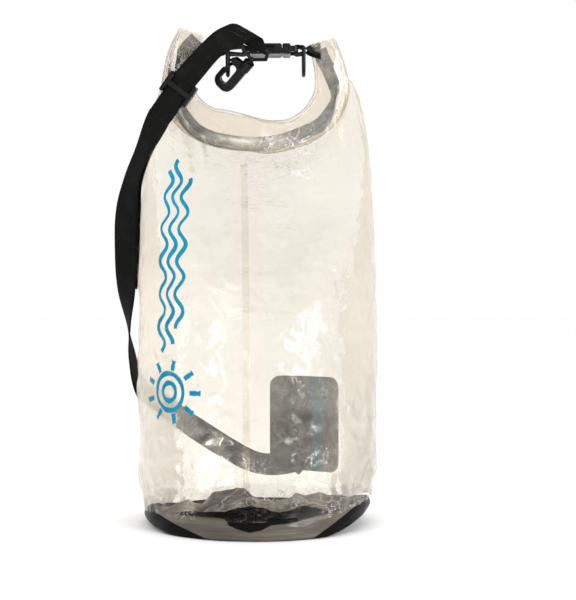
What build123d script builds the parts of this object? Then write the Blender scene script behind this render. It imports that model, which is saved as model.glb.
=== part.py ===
from build123d import *
import os
from math import atan2, cos, degrees, radians, sin

# A clear roll-top dry bag, standing up, with its rolled mouth buckled into a carrying loop.
# Millimetres. +X is to the bag's right, +Y to its back and +Z up.
# The origin is the centre of the base rim, on the ground.

# Bag
RIM_HEIGHT = 22.0              # of the base's flange and the band welded round it
FILM = 1.0                     # tube wall
BASE_SHEET = 1.6               # base disc and flange
WELD_GAP = 0.15                # between the flange and the band round it
RIM_LIFT = 0.3
BODY_RADIUS = 126.0            # at the belly
BASE_STEP = 6.0                # the welded rim is smaller than the belly by this
BASE_RADIUS = BODY_RADIUS - BASE_STEP
BELLY_LOW = 50.0               # heights between which the tube is round
SHOULDER_HEIGHT = 414.0        # where the tube stops beside the roll's arms
TAPER_HEIGHT = 201.0           # from the belly to the shoulder
BELLY_HIGH = SHOULDER_HEIGHT - TAPER_HEIGHT
ROLL_DIP = 24.0                # the roll's middle hangs below the shoulder by this
ROLL_LOW = SHOULDER_HEIGHT - ROLL_DIP
SHOULDER_STEP = 11.0           # the shoulder is narrower than the belly by this, each side
SHOULDER_HALF_WIDTH = BODY_RADIUS - SHOULDER_STEP
SHOULDER_HALF_DEPTH = 15.0
TAPER_STEPS = 5

# Rolled mouth
ROLL_WIDTH = 40.0
ROLL_THICKNESS = 16.0
ARM_STEP = 23.0                # the arms stand inside the shoulder's edges by this
ARM_OUTER = SHOULDER_HALF_WIDTH - ARM_STEP
ARM_HEIGHT = 95.0              # above the shoulder
ARM_TOP = SHOULDER_HEIGHT + ARM_HEIGHT
ARM_SPLIT = 58.0               # where an arm leaves the roll, from the centre line
ARM_GAP = 0.3
STRIP_WIDTH = 15.0
STRIP_THICKNESS = 1.5
STRIP_EDGE = 9.0               # from the roll's lower edge
STRIP_GAP = 0.2
STRIP_END = 12.0               # below the buckle's axis

# Webbing and its hardware
WEB_WIDTH = 25.0
WEB_PLY = 1.4
RUN_GAP = 0.3                  # running clearance round a bar
SIDE_GAP = 0.5                 # between webbing and hardware, each side
WIRE = 4.0                     # D-ring section
DRING_STRAIGHT = 11.0          # the D's sides, above its bow
DRING_HALF = WEB_WIDTH / 2 + SIDE_GAP + WIRE / 2
DRING_DROP = DRING_STRAIGHT + DRING_HALF

# Side-release buckle, along +X
BUCKLE_SEAM_X = 26.2
BUCKLE_DROP = 10.0             # below the arms' tops
BUCKLE_Z = ARM_TOP - BUCKLE_DROP
BUCKLE_RAIL = 4.0              # beside the webbing slots
BUCKLE_WIDTH = WEB_WIDTH + 2 * SIDE_GAP + 2 * BUCKLE_RAIL
BUCKLE_THICKNESS = 11.0
FRAME_THICKNESS = 6.0          # round the webbing slots
HOUSING_LENGTH = 34.0
HOUSING_WALL = 3.5             # beside the cavity
HOUSING_SKIN = 2.3             # over and under the cavity
SLOT_LENGTH = 5.0
BUCKLE_BAR = 3.0
CAVITY_WIDTH = BUCKLE_WIDTH - 2 * HOUSING_WALL
CAVITY_HEIGHT = BUCKLE_THICKNESS - 2 * HOUSING_SKIN
CAVITY_DEPTH = HOUSING_LENGTH - 4.0
WINDOW_NEAR = 8.0              # side window, from the seam
WINDOW_LENGTH = 18.0
MALE_BLOCK = 9.0
SEAM_GAP = 0.3
PRONG_LENGTH = 24.0
PRONG_WIDTH = 4.5
PRONG_GAP = 0.2                # between a prong and the housing
PRONG_ROOT_GAP = 0.5
TONGUE_WIDTH = 6.0
TONGUE_LENGTH = 22.0
FEMALE_BAR_X = BUCKLE_SEAM_X - HOUSING_LENGTH - SLOT_LENGTH - BUCKLE_BAR / 2
MALE_BAR_X = BUCKLE_SEAM_X + MALE_BLOCK + SLOT_LENGTH + BUCKLE_BAR / 2
LEFT_RING_STEP = 16.7          # from the buckle's webbing bar to each D-ring's bar
RIGHT_RING_STEP = 7.3
LEFT_DRING_X = FEMALE_BAR_X - LEFT_RING_STEP
RIGHT_DRING_X = MALE_BAR_X + RIGHT_RING_STEP
TAB_REACH = 5.0                # how far each tab reaches into its arm
TAB_END = ARM_SPLIT + TAB_REACH
TAB_ROOM = 3.2                 # half height of the pocket for it

# Swivel hooks
HOOK_LENGTH = 46.0             # swivel to the end of the nose
HOOK_START = 7.0
NOSE_WIDTH = 6.5
HOOK_LOW = -5.0                # spine's outer edge, across the hook
HOOK_HIGH = 18.0               # nose's outer edge
HOOK_THICKNESS = 6.5
MOUTH_START = 15.0
MOUTH_LOW = 4.5
MOUTH_HIGH = 12.6
COLLAR_RADIUS = 6.0
COLLAR_START = 1.0
COLLAR_END = 12.0
STUD_RADIUS = 2.6
STUD_HEAD_RADIUS = 4.0
STUD_NECK = 5.0                # from the swivel to the stud's head
STUD_END = 8.8
EYE_WIRE = 1.8                 # radius
GATE_PIVOT = (11.0, 12.0)
GATE_TIP = (24.5, 15.0)
GATE_THICKNESS = 3.4
GATE_WIDTH = 3.6
GATE_GAP = 0.5
CHEEK_RADIUS = 3.6
PIN_RADIUS = 1.0
PIN_GAP = 0.1
DRING_SEAT = (29.5, 8.5)       # where a D-ring's wire lies in the mouth
UPPER_SEAT_Y = -1.5            # where the upper hook meets the left D-ring
UPPER_AXIS = Vector(-0.60, 0.50, -0.62).normalized()
UPPER_ACROSS = Vector(-0.718, 0.0, 0.695)
UPPER_BAR_OFFSET = Vector(5.9, -13.0, 14.0)   # from the upper swivel to its webbing bar
LOWER_AXIS = Vector(0.60, -0.14, 0.785).normalized()
EYE_BAR_REACH = 19.0           # swivel to the webbing bar

# Back patch and its D-ring
PATCH_AZIMUTH = 25.0           # degrees from the back centre line towards +X
PATCH_WIDTH = 85.0
PATCH_HEIGHT = 108.0
PATCH_CENTRE_Z = 92.0
PATCH_SHEET = 1.4
PATCH_GAP = 0.3
PATCH_CORNER = 12.0
PATCH_DRING_Z = 104.0
PATCH_DRING_LEAN = 22.0        # degrees it stands off the patch, over the hook

# Slider
SLIDER_AT = 3                  # strap stretch that it runs on
SLIDER_LENGTH = 24.0
SLIDER_FROM_BEND = 2.0
SLIDER_RAIL = 3.6
SLIDER_BAR = 3.2
SLIDER_BAR_THICKNESS = 2.0

os.makedirs("parts", exist_ok=True)


def save(name, shape):
    export_step(shape, f"parts/{name}.step")


def slab(size_x, size_y, size_z, low_x, centre_y=0.0, centre_z=0.0):
    """A box that starts at low_x and is centred in Y and Z."""
    return Pos(low_x + size_x / 2, centre_y, centre_z) * Box(size_x, size_y, size_z)


def rod(start, end, radius):
    """A round bar between two points."""
    along = end - start
    plane = Plane(origin=start, z_dir=along)
    return extrude(plane * Circle(radius), along.length)


def flat_plate(points_face, thickness):
    """A face drawn in X and Z, given its thickness evenly to both sides in Y."""
    return extrude(points_face, thickness / 2, both=True, dir=(0, 1, 0))


# ---------------------------------------------------------------- bag

def body_section(z, half_width, half_depth, inset):
    return Plane.XY.offset(z) * Ellipse(half_width - inset, half_depth - inset)


def body_solid(inset):
    """The tube's outside, or its inside when inset is the wall."""
    sections = [
        body_section(RIM_HEIGHT, BASE_RADIUS, BASE_RADIUS, inset),
        body_section((RIM_HEIGHT + BELLY_LOW) / 2, (BASE_RADIUS + 3 * BODY_RADIUS) / 4,
                     (BASE_RADIUS + 3 * BODY_RADIUS) / 4, inset),
        body_section(BELLY_LOW, BODY_RADIUS, BODY_RADIUS, inset),
        body_section(BELLY_HIGH, BODY_RADIUS, BODY_RADIUS, inset),
    ]
    for step in range(1, TAPER_STEPS + 1):
        share = step / TAPER_STEPS
        half_width = BODY_RADIUS - (BODY_RADIUS - SHOULDER_HALF_WIDTH) * share ** 2
        half_depth = BODY_RADIUS - (BODY_RADIUS - SHOULDER_HALF_DEPTH) * share ** 1.3
        height = BELLY_HIGH + (SHOULDER_HEIGHT - BELLY_HIGH) * share
        sections.append(body_section(height, half_width, half_depth, inset))
    return loft(sections, ruled=True)


def mouth_lower_edge(drop):
    """The roll's lower edge, lowered and widened by drop."""
    half = [(0.0, ROLL_LOW - drop), (ARM_OUTER * 0.45, ROLL_LOW + 2.5 - drop),
            (ARM_OUTER * 0.8 + drop, ROLL_LOW + 13 - drop), (ARM_OUTER + drop, SHOULDER_HEIGHT + 4)]
    mirrored = [(-x, z) for x, z in reversed(half[1:])]
    return Spline([Vector(x, 0, z) for x, z in mirrored + half])


def above_mouth(drop):
    """Everything above the roll's lower edge."""
    edge = mouth_lower_edge(drop)
    top = ARM_TOP + 100
    left, right = edge @ 0, edge @ 1
    rim = Polyline(right, (right.X, 0, top), (left.X, 0, top), left)
    return flat_plate(make_face([edge, rim]), 4 * BODY_RADIUS)


def body_tube():
    outside = body_solid(0) - above_mouth(0)
    inside = body_solid(FILM) - above_mouth(FILM)
    reach = 8 * BODY_RADIUS
    inside -= Pos(0, 0, SHOULDER_HEIGHT - FILM + reach / 2) * Box(reach, reach, reach)
    return outside - inside


def base_disc():
    """Disc with a turned-down flange, which the bag stands on."""
    outer = BASE_RADIUS - FILM - WELD_GAP
    depth = RIM_HEIGHT - BASE_SHEET
    cup = Pos(0, 0, RIM_HEIGHT / 2) * Cylinder(outer, RIM_HEIGHT)
    return cup - Pos(0, 0, depth / 2) * Cylinder(outer - BASE_SHEET, depth)


def rim_band():
    """Film welded round the flange, just clear of the ground."""
    height = RIM_HEIGHT - RIM_LIFT
    band = Cylinder(BASE_RADIUS, height) - Cylinder(BASE_RADIUS - FILM, height)
    return Pos(0, 0, RIM_LIFT + height / 2) * band


# ---------------------------------------------------------------- rolled mouth

def arm_region(gap):
    """The space of the right arm: beyond the split and above the shoulder."""
    reach = 400.0
    middle = (ARM_SPLIT + gap + reach / 2, 0, SHOULDER_HEIGHT + gap + reach / 2)
    return Pos(*middle) * Box(reach, reach, reach)


def roll_centre():
    """The flat roll between the arms."""
    lower = mouth_lower_edge(0)
    crest = ROLL_LOW + ROLL_WIDTH
    upper = Spline([Vector(x, 0, z) for x, z in (
        (ARM_SPLIT, crest + 18), (ARM_SPLIT - 8, crest + 5), (0, crest),
        (8 - ARM_SPLIT, crest + 5), (-ARM_SPLIT, crest + 18))])
    outline = make_face([lower, Line(lower @ 1, upper @ 0), upper, Line(upper @ 1, lower @ 0)])
    arms = arm_region(0)
    return flat_plate(outline, ROLL_THICKNESS) - arms - mirror(arms, Plane.YZ)


def roll_arm():
    """The right end of the roll, bent up to its tab, with the shoulder's film beside it."""
    low = SHOULDER_HEIGHT + ARM_GAP
    inner = ARM_SPLIT + ARM_GAP
    height = ARM_TOP - SHOULDER_HEIGHT
    outer = Spline([Vector(x, 0, z) for x, z in (
        (SHOULDER_HALF_WIDTH - 1, low), (SHOULDER_HALF_WIDTH - 7, low + 0.33 * height),
        (ARM_OUTER + 2, low + 0.63 * height), (ARM_OUTER - 8, low + 0.88 * height),
        (ARM_OUTER - 20, ARM_TOP))])
    sides = Polyline(outer @ 1, (inner, 0, ARM_TOP - 2), (inner, 0, low), outer @ 0)
    arm = flat_plate(make_face([outer, sides]), ROLL_THICKNESS)
    top_corners = arm.edges().filter_by(Axis.Y).group_by(Axis.Z)[-1]
    return fillet(top_corners, 3)


def strip_solid(gap):
    """The stiffener inside the roll, from arm to arm."""
    def rail(offset):
        half = [
            (0.0, ROLL_LOW + offset),
            (ARM_OUTER * 0.5, ROLL_LOW + 4 + offset),
            (ARM_OUTER - 18 - offset * 0.6, ROLL_LOW + 20 + offset * 0.6),
            (ARM_OUTER - 2 - offset, ROLL_LOW + 52 + offset * 0.2),
            (ARM_OUTER + 2 - offset, ROLL_LOW + 78),
            (ARM_OUTER - offset, BUCKLE_Z - STRIP_END),
        ]
        mirrored = [(-x, z) for x, z in reversed(half[1:])]
        return Spline([Vector(x, 0, z) for x, z in mirrored + half])

    low = rail(STRIP_EDGE - gap)
    high = rail(STRIP_EDGE + STRIP_WIDTH + gap)
    outline = make_face([low, Line(low @ 1, high @ 1), high, Line(high @ 0, low @ 0)])
    return flat_plate(outline, STRIP_THICKNESS + 2 * gap)


# ---------------------------------------------------------------- buckle and tabs

def webbing_slot(near_x):
    """A slot across the buckle for webbing."""
    return slab(SLOT_LENGTH, WEB_WIDTH + 2 * SIDE_GAP, BUCKLE_THICKNESS * 2, near_x)


def buckle_female():
    """Housing with its mouth at the seam, a window each side and a bar for webbing."""
    frame_length = SLOT_LENGTH + BUCKLE_BAR
    housing = slab(HOUSING_LENGTH, BUCKLE_WIDTH, BUCKLE_THICKNESS, -HOUSING_LENGTH)
    housing = fillet(housing.edges().filter_by(Axis.Y), 2.5)
    frame = slab(frame_length + 2, BUCKLE_WIDTH, FRAME_THICKNESS, -HOUSING_LENGTH - frame_length)
    frame = fillet(frame.edges().filter_by(Axis.Z).sort_by(Axis.X)[:2], 5.0)
    frame -= webbing_slot(-HOUSING_LENGTH - SLOT_LENGTH)
    cavity = slab(CAVITY_DEPTH + 1, CAVITY_WIDTH, CAVITY_HEIGHT, -CAVITY_DEPTH)
    window = slab(WINDOW_LENGTH, BUCKLE_WIDTH * 2, CAVITY_HEIGHT, -WINDOW_NEAR - WINDOW_LENGTH)
    solid = housing + frame - cavity - window
    return Pos(BUCKLE_SEAM_X, 0, BUCKLE_Z) * solid


def buckle_male():
    """Block, centre tongue and webbing bar."""
    block = slab(MALE_BLOCK - SEAM_GAP, BUCKLE_WIDTH, BUCKLE_THICKNESS, SEAM_GAP)
    block = fillet(block.edges().filter_by(Axis.Y), 2.0)
    frame = slab(SLOT_LENGTH + BUCKLE_BAR + 2, BUCKLE_WIDTH, FRAME_THICKNESS, MALE_BLOCK - 2)
    frame = fillet(frame.edges().filter_by(Axis.Z).sort_by(Axis.X)[-2:], 4.0)
    frame -= webbing_slot(MALE_BLOCK)
    tongue = slab(TONGUE_LENGTH + 1, TONGUE_WIDTH, CAVITY_HEIGHT - 1.2, -TONGUE_LENGTH)
    tongue = fillet(tongue.edges().filter_by(Axis.Z).sort_by(Axis.X)[:2], TONGUE_WIDTH / 2 - 0.2)
    return Pos(BUCKLE_SEAM_X, 0, BUCKLE_Z) * (block + frame + tongue)


def prong(side):
    """A springy arm of the male half, on the front (-1) or back (+1)."""
    outer = CAVITY_WIDTH / 2 - PRONG_GAP
    length = PRONG_LENGTH - PRONG_ROOT_GAP
    arm = slab(length, PRONG_WIDTH, CAVITY_HEIGHT - 1.0, -PRONG_LENGTH,
               side * (outer - PRONG_WIDTH / 2))
    tip = arm.edges().filter_by(Axis.Z).sort_by(Axis.X)[:2]
    arm = fillet(tip, PRONG_WIDTH / 2 - 0.4)
    return Pos(BUCKLE_SEAM_X, 0, BUCKLE_Z) * arm


def webbing_tab(bar_x, ring_x, end_x):
    """Webbing doubled round the buckle's bar and a D-ring's bar, with its end in the roll's arm."""
    ring_half = WIRE / 2 + RUN_GAP + WEB_PLY
    bar_half = FRAME_THICKNESS / 2 + RUN_GAP + WEB_PLY
    outline = Pos(bar_x, 0) * Circle(bar_half) + Pos(ring_x, 0) * Circle(ring_half)
    neck = Polyline((bar_x, -bar_half), (ring_x, -ring_half), (ring_x, ring_half), (bar_x, bar_half),
                    close=True)
    tail = Polyline((ring_x, -ring_half), (end_x, -WEB_PLY), (end_x, WEB_PLY), (ring_x, ring_half),
                    close=True)
    outline = outline + make_face(neck) + make_face(tail)
    outline -= Pos(ring_x, 0) * Circle(WIRE / 2 + RUN_GAP)
    outline -= Pos(bar_x, 0) * Rectangle(BUCKLE_BAR + 2 * RUN_GAP, FRAME_THICKNESS + 2 * RUN_GAP)
    return Pos(0, 0, BUCKLE_Z) * extrude(Plane.XZ * outline, WEB_WIDTH / 2, both=True)


def dring():
    """A D of round wire hanging from the origin, its bar along Y."""
    half, straight, wire = DRING_HALF, DRING_STRAIGHT, WIRE / 2
    ring = rod(Vector(0, -half, 0), Vector(0, half, 0), wire)
    for side in (-1, 1):
        ring += Pos(0, side * half, 0) * Sphere(wire)
        ring += rod(Vector(0, side * half, 0), Vector(0, side * half, -straight), wire)
    section = Plane(origin=(0, half, -straight), z_dir=(0, 0, 1)) * Circle(wire)
    return ring + revolve(section, Axis((0, 0, -straight), (-1, 0, 0)), 180)


# ---------------------------------------------------------------- swivel hooks

def hook_plane(swivel, axis, across):
    """Local X runs from the swivel to the nose, local Y across the hook towards its gate."""
    return Plane(origin=swivel, x_dir=axis, z_dir=axis.cross(across))


def on_hook(shape, plane):
    return shape.moved(plane.location)


def plate(face, thickness):
    return extrude(face, thickness / 2, both=True)


def link(start, end, width):
    """A flat link with round ends between two points of the hook's plane."""
    run = Vector(end[0] - start[0], end[1] - start[1])
    middle = Pos((start[0] + end[0]) / 2, (start[1] + end[1]) / 2)
    return middle * Rot(0, 0, degrees(atan2(run.Y, run.X))) * SlotCenterToCenter(run.length, width)


def hook_body(plane):
    """Spine, nose and collar, with a socket for the stud and two cheeks for the gate's pin."""
    width = HOOK_HIGH - HOOK_LOW
    length = HOOK_LENGTH - HOOK_START
    outline = Pos(HOOK_START + length / 2, (HOOK_HIGH + HOOK_LOW) / 2) * RectangleRounded(
        length, width, width * 0.42)
    mouth_end = HOOK_LENGTH - NOSE_WIDTH
    mouth_width = MOUTH_HIGH - MOUTH_LOW
    mouth_place = Pos((MOUTH_START + mouth_end) / 2, (MOUTH_LOW + MOUTH_HIGH) / 2)
    outline -= mouth_place * RectangleRounded(mouth_end - MOUTH_START, mouth_width, mouth_width * 0.45)
    side_start = GATE_PIVOT[0] + CHEEK_RADIUS * 0.8
    side_end = GATE_TIP[0] + GATE_THICKNESS / 2 + GATE_GAP
    side_height = HOOK_HIGH - MOUTH_HIGH + 4
    side_place = Pos((side_start + side_end) / 2, MOUTH_HIGH - 1 + side_height / 2)
    outline -= side_place * Rectangle(side_end - side_start, side_height)
    outline += Pos(*GATE_PIVOT) * Circle(CHEEK_RADIUS)
    body = plate(outline, HOOK_THICKNESS)
    open_tip = (GATE_TIP[0], MOUTH_LOW + GATE_THICKNESS / 2)
    sweep_width = GATE_THICKNESS + 2 * GATE_GAP
    room = link(GATE_PIVOT, GATE_TIP, sweep_width) + link(GATE_PIVOT, open_tip, sweep_width)
    room += make_face(Polyline(GATE_PIVOT, GATE_TIP, open_tip, close=True))
    body -= plate(room, GATE_WIDTH + 2 * RUN_GAP)
    pivot = Vector(*GATE_PIVOT)
    body += rod(pivot - Vector(0, 0, HOOK_THICKNESS / 2), pivot + Vector(0, 0, HOOK_THICKNESS / 2), PIN_RADIUS)
    body += rod(Vector(COLLAR_START, 0, 0), Vector(COLLAR_END, 0, 0), COLLAR_RADIUS)
    neck_end = STUD_NECK + RUN_GAP
    body -= rod(Vector(0, 0, 0), Vector(neck_end, 0, 0), STUD_RADIUS + RUN_GAP)
    body -= rod(Vector(STUD_NECK - RUN_GAP, 0, 0), Vector(STUD_END + RUN_GAP, 0, 0),
                STUD_HEAD_RADIUS + RUN_GAP)
    return on_hook(body, plane)


def hook_gate(plane):
    """The sprung gate, on its pin."""
    gate = plate(link(GATE_PIVOT, GATE_TIP, GATE_THICKNESS) + Pos(*GATE_PIVOT) * Circle(GATE_THICKNESS / 2),
                 GATE_WIDTH)
    pivot = Vector(*GATE_PIVOT)
    reach = Vector(0, 0, GATE_WIDTH)
    return on_hook(gate - rod(pivot - reach, pivot + reach, PIN_RADIUS + PIN_GAP), plane)


def hook_eye(plane, bar_centre, bar_along):
    """Stud in the collar and the loop that the webbing goes round."""
    stud = rod(Vector(-STUD_RADIUS, 0, 0), Vector(STUD_NECK + 0.1, 0, 0), STUD_RADIUS)
    stud += rod(Vector(STUD_NECK, 0, 0), Vector(STUD_END, 0, 0), STUD_HEAD_RADIUS)
    eye = on_hook(stud, plane)
    half = WEB_WIDTH / 2 + SIDE_GAP + EYE_WIRE
    root = plane.origin - plane.x_dir * STUD_RADIUS
    down = (root - bar_centre) * 0.5
    ends = [bar_centre + bar_along * (side * half) for side in (-1, 1)]
    eye += rod(ends[0], ends[1], EYE_WIRE)
    eye += Pos(*root) * Sphere(STUD_RADIUS + 0.4)
    for end in ends:
        eye += rod(end, end + down, EYE_WIRE)
        eye += rod(end + down, root, EYE_WIRE)
        eye += Pos(*end) * Sphere(EYE_WIRE)
        eye += Pos(*(end + down)) * Sphere(EYE_WIRE)
    return eye


def square_to(direction, guide):
    """The part of guide that is square to direction, made one long."""
    return (guide - direction * guide.dot(direction)).normalized()


# ---------------------------------------------------------------- back patch

def patch_axes():
    turn = radians(PATCH_AZIMUTH)
    return Vector(sin(turn), cos(turn), 0), Vector(cos(turn), -sin(turn), 0)


def patch_radius():
    return BODY_RADIUS + PATCH_GAP


def back_patch():
    """A curved sheet on the back wall, round cornered."""
    inner = patch_radius()
    outward, along = patch_axes()
    tube = Cylinder(inner + PATCH_SHEET, PATCH_HEIGHT) - Cylinder(inner, PATCH_HEIGHT + 2)
    outline = RectangleRounded(PATCH_WIDTH, PATCH_HEIGHT, PATCH_CORNER)
    window = extrude(Plane(origin=(0, 0, 0), x_dir=along, z_dir=outward) * outline, 2 * inner)
    return Pos(0, 0, PATCH_CENTRE_Z) * (tube & window)


def patch_dring_centre():
    outward, _ = patch_axes()
    reach = patch_radius() + PATCH_SHEET + 0.3 + WEB_PLY + RUN_GAP + WIRE / 2
    return outward * reach + Vector(0, 0, PATCH_DRING_Z)


def patch_frame():
    """Local X across the patch, local Z outwards, at the D-ring's bar."""
    outward, along = patch_axes()
    return Plane(origin=patch_dring_centre(), x_dir=along, z_dir=outward)


def patch_loop():
    """Webbing loop sewn to the patch round the D-ring's bar."""
    outer = WIRE / 2 + RUN_GAP + WEB_PLY
    hump = Circle(outer) + Pos(0, -outer / 2) * Rectangle(2 * outer, outer)
    flap = Pos(9.0, -outer + WEB_PLY) * Rectangle(18.0, 2 * WEB_PLY)
    side_view = hump + flap - Circle(WIRE / 2 + RUN_GAP)
    loop = extrude(side_view, WEB_WIDTH / 2, both=True)
    frame = patch_frame()
    across = Plane(origin=frame.origin, x_dir=(0, 0, 1), z_dir=-frame.x_dir)
    return loop.moved(across.location)


def patch_dring():
    """Hanging from the loop, leaning off the patch."""
    frame = patch_frame()
    lean = radians(PATCH_DRING_LEAN)
    down = Vector(0, 0, -1) * cos(lean) + frame.z_dir * sin(lean)
    plane = Plane(origin=frame.origin, x_dir=frame.x_dir.cross(-down), z_dir=-down)
    return dring().moved(plane.location), frame.origin + down * DRING_DROP


def seated_hook(seat, axis, across):
    """A hook placed so that a D-ring's wire at seat lies in its mouth."""
    swivel = seat - axis * DRING_SEAT[0] - across * DRING_SEAT[1]
    return hook_plane(swivel, axis, across)


def upper_hook_plane():
    drop = DRING_STRAIGHT + (DRING_HALF ** 2 - UPPER_SEAT_Y ** 2) ** 0.5
    seat = Vector(LEFT_DRING_X, UPPER_SEAT_Y, BUCKLE_Z - drop)
    return seated_hook(seat, UPPER_AXIS, square_to(UPPER_AXIS, UPPER_ACROSS))


def lower_hook_plane():
    outward, _ = patch_axes()
    _, seat = patch_dring()
    return seated_hook(seat, LOWER_AXIS, -square_to(LOWER_AXIS, outward))


# ---------------------------------------------------------------- shoulder strap

STRAP_THICKNESS = 2 * WEB_PLY
# Where the strap runs, and where the outside of its face looks.
# From the upper hook's bar: steps in X, Y and Z.
STRAP_FROM_UPPER = [
    ((-15.7, -6, -1.4), (0.25, -0.95, 0.25)),
    ((-37.7, -7, -7.4), (0.05, -1.0, 0.1)),
    ((-56.7, -5, -18.4), (-0.05, -1.0, 0.05)),
    ((-71.7, -2, -33), (-0.1, -1.0, 0.0)),
    ((-101.7, 7, -74.4), (-0.1, -1.0, 0.0)),
]
# Beside the bag: degrees from -X towards the back, the belly's clearance from a strap that stands edge on,
# and the share of the shoulder's height.
STRAP_BESIDE = [
    ((-8.3, -20.3, 0.957), (-0.7, -0.7, 0.0)),
    ((-5.7, -6.9, 0.874), (-0.7, -0.7, 0.0)),
    ((-5.0, -1.0, 0.785), (-0.3, -0.95, 0.0)),
    ((-3.7, -0.2, 0.688), (-0.3, -0.95, 0.0)),
    ((-2.0, -0.4, 0.599), (-0.6, -0.8, 0.0)),
    ((1.7, -1.5, 0.512), (-0.95, -0.3, 0.0)),
    ((8.4, -2.0, 0.4275), (-0.99, 0.1, 0.0)),
    ((19.4, -2.8, 0.338), (-0.94, 0.34, 0.0)),
    ((36.2, -4.7, 0.287), (-0.80, 0.60, 0.0)),
    ((56.5, -4.3, 0.2126), (-0.55, 0.83, 0.0)),
    ((74.6, -2.6, 0.1473), (-0.25, 0.97, 0.0)),
    ((88.4, 1.5, 0.1063), (-0.05, 1.0, 0.05)),
]


def strap_route(upper_bar):
    """Points of the strap's middle, and the way its face looks there."""
    route = [(upper_bar + Vector(*step), Vector(*face)) for step, face in STRAP_FROM_UPPER]
    for (turn, clearance, share), face in STRAP_BESIDE:
        reach = BODY_RADIUS + clearance + WEB_WIDTH / 2
        point = Vector(-reach * cos(radians(turn)), reach * sin(radians(turn)), share * SHOULDER_HEIGHT)
        route.append((point, Vector(*face)))
    return route


def strap_planes(upper_bar):
    """A section plane at each point of the route. The slider's stretch is straight and flat."""
    route = strap_route(upper_bar)
    planes = []
    for i, (point, face) in enumerate(route):
        first, last = max(i - 1, 0), min(i + 1, len(route) - 1)
        if i in (SLIDER_AT, SLIDER_AT + 1):
            first, last = SLIDER_AT, SLIDER_AT + 1
        along = (route[last][0] - route[first][0]).normalized()
        planes.append(Plane(origin=point, x_dir=along.cross(square_to(along, face)), z_dir=along))
    return planes


def shoulder_strap(upper_bar, upper_along, lower_bar, lower_along):
    """Doubled webbing from hook to hook, with an eye round each hook's bar."""
    planes = strap_planes(upper_bar)
    sections = [plane * Rectangle(WEB_WIDTH, STRAP_THICKNESS) for plane in planes]
    strap = loft(sections, ruled=True)
    for bar, along, plane in ((upper_bar, upper_along, planes[0]), (lower_bar, lower_along, planes[-1])):
        inner = EYE_WIRE + RUN_GAP
        start = bar - along * (WEB_WIDTH / 2)
        end = bar + along * (WEB_WIDTH / 2)
        link_plane = Plane(origin=bar, x_dir=along, z_dir=plane.origin - bar)
        link = loft([link_plane * Rectangle(WEB_WIDTH, STRAP_THICKNESS),
                     plane * Rectangle(WEB_WIDTH, STRAP_THICKNESS)], ruled=True)
        strap = strap + link + rod(start, end, inner + WEB_PLY)
        strap -= rod(start - along * 5, end + along * 5, inner)
    return strap


def slider_plane(upper_bar):
    """Local Y runs along the strap and local Z out of its face."""
    start = strap_planes(upper_bar)[SLIDER_AT]
    middle = start.origin + start.z_dir * (SLIDER_LENGTH / 2 + SLIDER_FROM_BEND)
    return Plane(origin=middle, x_dir=start.x_dir, z_dir=start.x_dir.cross(start.z_dir))


def strap_slider(upper_bar):
    """Ladder slider: two rails beside the webbing, a bar over it and two under it."""
    inner = WEB_WIDTH + 2 * SIDE_GAP
    level = STRAP_THICKNESS / 2 + 0.9
    depth = 2 * (level + SLIDER_BAR_THICKNESS)
    slider = Part()
    for side in (-1, 1):
        rail = Pos(side * (inner + SLIDER_RAIL) / 2, 0, 0) * Box(SLIDER_RAIL, SLIDER_LENGTH, depth)
        slider += fillet(rail.edges().filter_by(Axis.Z), SLIDER_RAIL / 2 - 0.2)
    height = level + SLIDER_BAR_THICKNESS / 2
    slider += Pos(0, 0, height) * Box(inner + SLIDER_RAIL, SLIDER_BAR * 1.6, SLIDER_BAR_THICKNESS)
    for end in (-1, 1):
        place = Pos(0, end * (SLIDER_LENGTH - SLIDER_BAR) / 2, -height)
        slider += place * Box(inner + SLIDER_RAIL, SLIDER_BAR, SLIDER_BAR_THICKNESS)
    return slider.moved(slider_plane(upper_bar).location)


# ---------------------------------------------------------------- write

tab_room = slab(2 * WEB_WIDTH, WEB_WIDTH + 2 * RUN_GAP, 2 * TAB_ROOM, TAB_END + RUN_GAP - 2 * WEB_WIDTH,
                0, BUCKLE_Z)
arm = roll_arm() - strip_solid(STRIP_GAP) - tab_room
strip = strip_solid(0)
save("body_tube", body_tube())
save("base_disc", base_disc())
save("rim_band", rim_band())
save("roll_centre", roll_centre() - strip_solid(STRIP_GAP))
save("roll_left_arm", mirror(arm, Plane.YZ))
save("roll_right_arm", arm)
save("stiffener_strip", strip - arm_region(0))
save("stiffener_end", strip & arm_region(ARM_GAP))
save("left_tab", webbing_tab(FEMALE_BAR_X, LEFT_DRING_X, -TAB_END))
save("right_tab", webbing_tab(MALE_BAR_X, RIGHT_DRING_X, TAB_END))
save("buckle_female", buckle_female())
save("buckle_male", buckle_male())
save("buckle_prong_front", prong(-1))
save("buckle_prong_back", prong(1))
save("left_dring", Pos(LEFT_DRING_X, 0, BUCKLE_Z) * dring())
save("right_dring", Pos(RIGHT_DRING_X, 0, BUCKLE_Z) * dring())

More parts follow.
